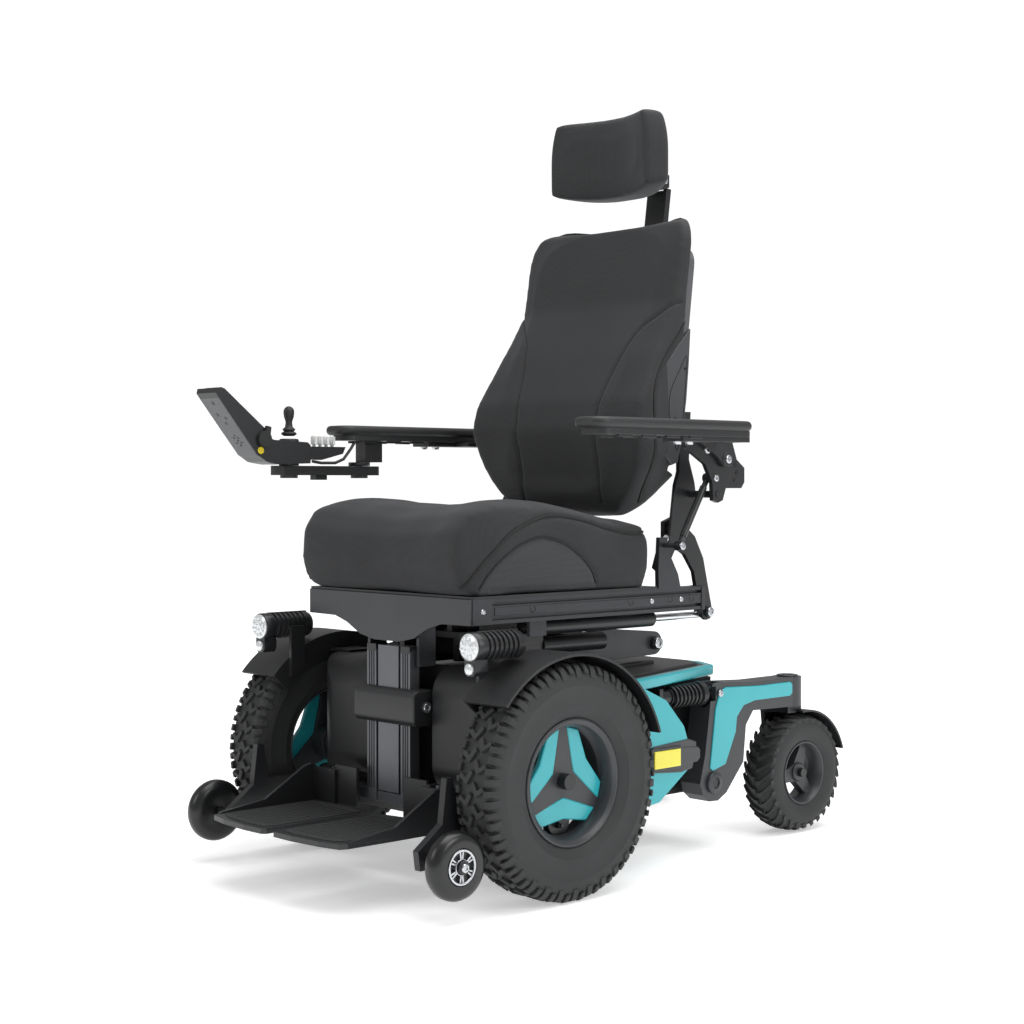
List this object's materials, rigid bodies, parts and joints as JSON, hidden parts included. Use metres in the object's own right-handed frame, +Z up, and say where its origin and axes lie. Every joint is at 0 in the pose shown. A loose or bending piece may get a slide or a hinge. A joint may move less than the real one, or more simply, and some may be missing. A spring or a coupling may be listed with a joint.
{
  "type": "power wheelchair",
  "caption": "Power wheelchair with a lifting, tilting and reclining seat, sprung rear casters, folding footplates and a swing-away joystick.",
  "frame": {"origin": "on the floor, under the middle of the bounding box", "axes": "+X to the user's left, -Y to the front, +Z up"},
  "size_m": [0.682, 1.118, 1.261],
  "materials": {
    "steel_frame": "black powder coat",
    "black_plastic": "fine-grained",
    "teal_plastic": "painted satin",
    "battery_case": "moulded",
    "motor_cast": "cast, painted",
    "lamp_body": "moulded",
    "urethane": "smooth",
    "tyre_rubber": "moulded tread",
    "rim_cast": "satin",
    "steel_bright": "brushed",
    "alloy_grey": "anodised",
    "rail_black": "black anodised",
    "seat_fabric": "fine weave",
    "head_foam": "fine weave over moulded foam",
    "arm_foam": "soft moulded foam",
    "joystick_shell": "fine-grained",
    "stick_rubber": "soft",
    "switch_white": "moulded",
    "cable_jacket": "smooth"
  },
  "bodies": {
    "base": {"chassis_frame": "steel_frame", "front_cover": "black_plastic", "top_cover": "black_plastic", "side_panels": "teal_plastic", "battery_pack": "battery_case", "drive_motors": "motor_cast", "drive_fenders": "black_plastic", "antitip_arms": "steel_frame"},
    "headlamp_l": {"headlight_left": "lamp_body"},
    "headlamp_r": {"headlight_right": "lamp_body"},
    "antitip_l": {"antitip_wheel_left": "urethane"},
    "antitip_r": {"antitip_wheel_right": "urethane"},
    "drive_l": {"drive_tyre_left": "tyre_rubber", "drive_rim_left": "rim_cast"},
    "drive_r": {"drive_tyre_right": "tyre_rubber", "drive_rim_right": "rim_cast"},
    "arm_l": {"caster_arm_left": "rim_cast"},
    "arm_r": {"caster_arm_right": "rim_cast"},
    "shock_l": {"shock_rod_left": "steel_bright"},
    "shock_r": {"shock_rod_right": "steel_bright"},
    "fork_l": {"caster_fork_left": "rim_cast"},
    "fork_r": {"caster_fork_right": "rim_cast"},
    "caster_l": {"caster_tyre_left": "tyre_rubber", "caster_rim_left": "rim_cast"},
    "caster_r": {"caster_tyre_right": "tyre_rubber", "caster_rim_right": "rim_cast"},
    "lift_lower": {"lift_lower_arms": "alloy_grey"},
    "lift_upper": {"lift_upper_arms": "steel_frame"},
    "carrier": {"seat_carrier": "steel_frame"},
    "seat": {"seat_rails": "rail_black", "seat_plate": "black_plastic", "front_plate": "alloy_grey", "seat_cushion": "seat_fabric"},
    "recline_actuator": {"recline_tube": "rail_black"},
    "recline_link": {"recline_rod": "steel_bright"},
    "back": {"back_brackets": "steel_frame", "back_shell": "black_plastic", "back_cushion": "seat_fabric"},
    "head_post": {"headrest_post": "steel_frame"},
    "head_rest": {"headrest_pad": "head_foam"},
    "armrest_l": {"armrest_bracket_left": "alloy_grey"},
    "armrest_r": {"armrest_bracket_right": "alloy_grey"},
    "armpad_l": {"armrest_pad_left": "arm_foam"},
    "armpad_r": {"armrest_pad_right": "arm_foam"},
    "strut_l": {"armrest_strut_left": "rail_black"},
    "strut_r": {"armrest_strut_right": "rail_black"},
    "joy_link": {"joystick_arm": "joystick_shell", "joystick_cable": "cable_jacket"},
    "joy_box": {"joystick_housing": "joystick_shell"},
    "joy_gimbal": {"joystick_gimbal": "joystick_shell"},
    "joy_stick": {"joystick_knob": "stick_rubber"},
    "joy_paddle": {"joystick_paddle": "joystick_shell"},
    "toggle_a": {"toggle_1": "switch_white"},
    "toggle_b": {"toggle_2": "switch_white"},
    "toggle_c": {"toggle_3": "switch_white"},
    "toggle_d": {"toggle_4": "switch_white"},
    "leg": {"legrest_post": "alloy_grey"},
    "leg_slide": {"legrest_slider": "alloy_grey"},
    "foot_l": {"footplate_left": "black_plastic"},
    "foot_r": {"footplate_right": "black_plastic"}
  },
  "joints": [
    {"name": "headlamp_tilt_l", "type": "hinge", "parent": "base", "child": "headlamp_l", "pos_m": [0.24, -0.331, 0.374], "axis": [1, 0, 0], "range_deg": [0, 12]},
    {"name": "antitip_spin_l", "type": "hinge", "parent": "base", "child": "antitip_l", "pos_m": [0.298, -0.448, 0.083], "axis": [1, 0, 0], "continuous": true},
    {"name": "drive_spin_l", "type": "hinge", "parent": "base", "child": "drive_l", "pos_m": [0.285, -0.231, 0.1775], "axis": [1, 0, 0], "continuous": true},
    {"name": "suspension_l", "type": "hinge", "parent": "base", "child": "arm_l", "pos_m": [0.19, 0.209, 0.115], "axis": [1, 0, 0], "range_deg": [0, 5], "stiffness_Nm_per_rad": 900, "springref_deg": -6.88},
    {"name": "shock_eye_l", "type": "hinge", "parent": "arm_l", "child": "shock_l", "pos_m": [0.19, 0.224, 0.265], "axis": [1, 0, 0], "range_deg": [-5, 0]},
    {"name": "caster_swivel_l", "type": "hinge", "parent": "arm_l", "child": "fork_l", "pos_m": [0.19, 0.436, 0.24], "axis": [0, 0, 1], "continuous": true},
    {"name": "caster_spin_l", "type": "hinge", "parent": "fork_l", "child": "caster_l", "pos_m": [0.188, 0.453, 0.105], "axis": [1, 0, 0], "continuous": true},
    {"name": "headlamp_tilt_r", "type": "hinge", "parent": "base", "child": "headlamp_r", "pos_m": [-0.24, -0.331, 0.374], "axis": [1, 0, 0], "range_deg": [0, 12]},
    {"name": "antitip_spin_r", "type": "hinge", "parent": "base", "child": "antitip_r", "pos_m": [-0.298, -0.448, 0.083], "axis": [1, 0, 0], "continuous": true},
    {"name": "drive_spin_r", "type": "hinge", "parent": "base", "child": "drive_r", "pos_m": [-0.285, -0.231, 0.1775], "axis": [1, 0, 0], "continuous": true},
    {"name": "suspension_r", "type": "hinge", "parent": "base", "child": "arm_r", "pos_m": [-0.19, 0.209, 0.115], "axis": [1, 0, 0], "range_deg": [0, 5], "stiffness_Nm_per_rad": 900, "springref_deg": -6.88},
    {"name": "shock_eye_r", "type": "hinge", "parent": "arm_r", "child": "shock_r", "pos_m": [-0.19, 0.224, 0.265], "axis": [1, 0, 0], "range_deg": [-5, 0]},
    {"name": "caster_swivel_r", "type": "hinge", "parent": "arm_r", "child": "fork_r", "pos_m": [-0.19, 0.436, 0.24], "axis": [0, 0, 1], "continuous": true},
    {"name": "caster_spin_r", "type": "hinge", "parent": "fork_r", "child": "caster_r", "pos_m": [-0.188, 0.453, 0.105], "axis": [1, 0, 0], "continuous": true},
    {"name": "seat_lift", "type": "hinge", "parent": "base", "child": "lift_lower", "pos_m": [0, -0.226, 0.34], "axis": [1, 0, 0], "range_deg": [0, 26]},
    {"name": "lift_knee", "type": "hinge", "parent": "lift_lower", "child": "lift_upper", "pos_m": [0, 0.16994, 0.347], "axis": [1, 0, 0], "range_deg": [-52, 0]},
    {"name": "lift_level", "type": "hinge", "parent": "lift_upper", "child": "carrier", "pos_m": [0, -0.226, 0.354], "axis": [1, 0, 0], "range_deg": [0, 26]},
    {"name": "seat_tilt", "type": "hinge", "parent": "carrier", "child": "seat", "pos_m": [0, 0.169, 0.398], "axis": [-1, 0, 0], "range_deg": [0, 45]},
    {"name": "recline", "type": "hinge", "parent": "seat", "child": "back", "pos_m": [0, 0.104, 0.491], "axis": [-1, 0, 0], "range_deg": [0, 45]},
    {"name": "recline_actuator_swing", "type": "hinge", "parent": "seat", "child": "recline_actuator", "pos_m": [0.155, -0.165, 0.394], "axis": [-1, 0, 0], "range_deg": [0, 12.5]},
    {"name": "recline_rod_end", "type": "hinge", "parent": "back", "child": "recline_link", "pos_m": [0.155, 0.241, 0.4], "axis": [1, 0, 0], "range_deg": [0, 45]},
    {"name": "headrest_height", "type": "slide", "parent": "back", "child": "head_post", "axis": [0, 0.1374, 0.9905], "range_m": [0, 0.09]},
    {"name": "headrest_tilt", "type": "hinge", "parent": "head_post", "child": "head_rest", "pos_m": [0, 0.295, 1.161], "axis": [1, 0, 0], "range_deg": [-18, 18]},
    {"name": "armrest_level_l", "type": "hinge", "parent": "back", "child": "armrest_l", "pos_m": [0.246, 0.175, 0.602], "axis": [1, 0, 0], "range_deg": [0, 45]},
    {"name": "armrest_strut_l", "type": "hinge", "parent": "seat", "child": "strut_l", "pos_m": [0.232, 0.098, 0.518], "axis": [-1, 0, 0], "range_deg": [0, 45]},
    {"name": "armrest_flip_l", "type": "hinge", "parent": "armrest_l", "child": "armpad_l", "pos_m": [0.255, 0.188, 0.66], "axis": [-1, 0, 0], "range_deg": [0, 90]},
    {"name": "armrest_level_r", "type": "hinge", "parent": "back", "child": "armrest_r", "pos_m": [-0.246, 0.175, 0.602], "axis": [1, 0, 0], "range_deg": [0, 45]},
    {"name": "armrest_strut_r", "type": "hinge", "parent": "seat", "child": "strut_r", "pos_m": [-0.232, 0.098, 0.518], "axis": [-1, 0, 0], "range_deg": [0, 45]},
    {"name": "armrest_flip_r", "type": "hinge", "parent": "armrest_r", "child": "armpad_r", "pos_m": [-0.255, 0.188, 0.66], "axis": [-1, 0, 0], "range_deg": [0, 90]},
    {"name": "joystick_swing", "type": "hinge", "parent": "armpad_r", "child": "joy_link", "pos_m": [-0.306, -0.14, 0.645], "axis": [0, 0, -1], "range_deg": [0, 75]},
    {"name": "joystick_turn", "type": "hinge", "parent": "joy_link", "child": "joy_box", "pos_m": [-0.306, -0.292, 0.645], "axis": [0, 0, 1], "range_deg": [0, 75]},
    {"name": "joystick_fore_aft", "type": "hinge", "parent": "joy_box", "child": "joy_gimbal", "pos_m": [-0.306, -0.292, 0.678], "axis": [1, 0, 0], "range_deg": [-16, 16], "stiffness_Nm_per_rad": 0.5},
    {"name": "joystick_side", "type": "hinge", "parent": "joy_gimbal", "child": "joy_stick", "pos_m": [-0.306, -0.292, 0.678], "axis": [0, 1, 0], "range_deg": [-16, 16], "stiffness_Nm_per_rad": 0.5},
    {"name": "paddle_turn", "type": "hinge", "parent": "joy_box", "child": "joy_paddle", "pos_m": [-0.28, -0.365, 0.694], "axis": [1, 0, 0], "range_deg": [-20, 20], "stiffness_Nm_per_rad": 0.2},
    {"name": "toggle_a_rock", "type": "hinge", "parent": "joy_box", "child": "toggle_a", "pos_m": [-0.306, -0.239, 0.675], "axis": [1, 0, 0], "range_deg": [-9, 9], "stiffness_Nm_per_rad": 0.1},
    {"name": "toggle_b_rock", "type": "hinge", "parent": "joy_box", "child": "toggle_b", "pos_m": [-0.306, -0.226, 0.675], "axis": [1, 0, 0], "range_deg": [-9, 9], "stiffness_Nm_per_rad": 0.1},
    {"name": "toggle_c_rock", "type": "hinge", "parent": "joy_box", "child": "toggle_c", "pos_m": [-0.306, -0.213, 0.675], "axis": [1, 0, 0], "range_deg": [-9, 9], "stiffness_Nm_per_rad": 0.1},
    {"name": "toggle_d_rock", "type": "hinge", "parent": "joy_box", "child": "toggle_d", "pos_m": [-0.306, -0.2, 0.675], "axis": [1, 0, 0], "range_deg": [-9, 9], "stiffness_Nm_per_rad": 0.1},
    {"name": "legrest_raise", "type": "hinge", "parent": "seat", "child": "leg", "pos_m": [0, -0.297, 0.346], "axis": [-1, 0, 0], "range_deg": [0, 70]},
    {"name": "legrest_length", "type": "slide", "parent": "leg", "child": "leg_slide", "axis": [0, 0, -1], "range_m": [0, 0.06]},
    {"name": "footplate_fold_l", "type": "hinge", "parent": "leg_slide", "child": "foot_l", "pos_m": [0.088, -0.327, 0.15], "axis": [-1, 0, 0], "range_deg": [0, 80]},
    {"name": "footplate_fold_r", "type": "hinge", "parent": "leg_slide", "child": "foot_r", "pos_m": [-0.088, -0.327, 0.15], "axis": [-1, 0, 0], "range_deg": [0, 80]}
  ],
  "couplings": [
    {"joint": "shock_eye_l", "follows": "suspension_l", "ratio": -1},
    {"joint": "shock_eye_r", "follows": "suspension_r", "ratio": -1},
    {"joint": "lift_knee", "follows": "seat_lift", "ratio": -2},
    {"joint": "lift_level", "follows": "seat_lift", "ratio": 1},
    {"joint": "recline_actuator_swing", "follows": "recline", "ratio": 0.27622},
    {"joint": "recline_rod_end", "follows": "recline", "ratio": 0.72378},
    {"joint": "armrest_level_l", "follows": "recline", "ratio": 1},
    {"joint": "armrest_strut_l", "follows": "recline", "ratio": 1},
    {"joint": "armrest_level_r", "follows": "recline", "ratio": 1},
    {"joint": "armrest_strut_r", "follows": "recline", "ratio": 1},
    {"joint": "joystick_turn", "follows": "joystick_swing", "ratio": 1}
  ]
}
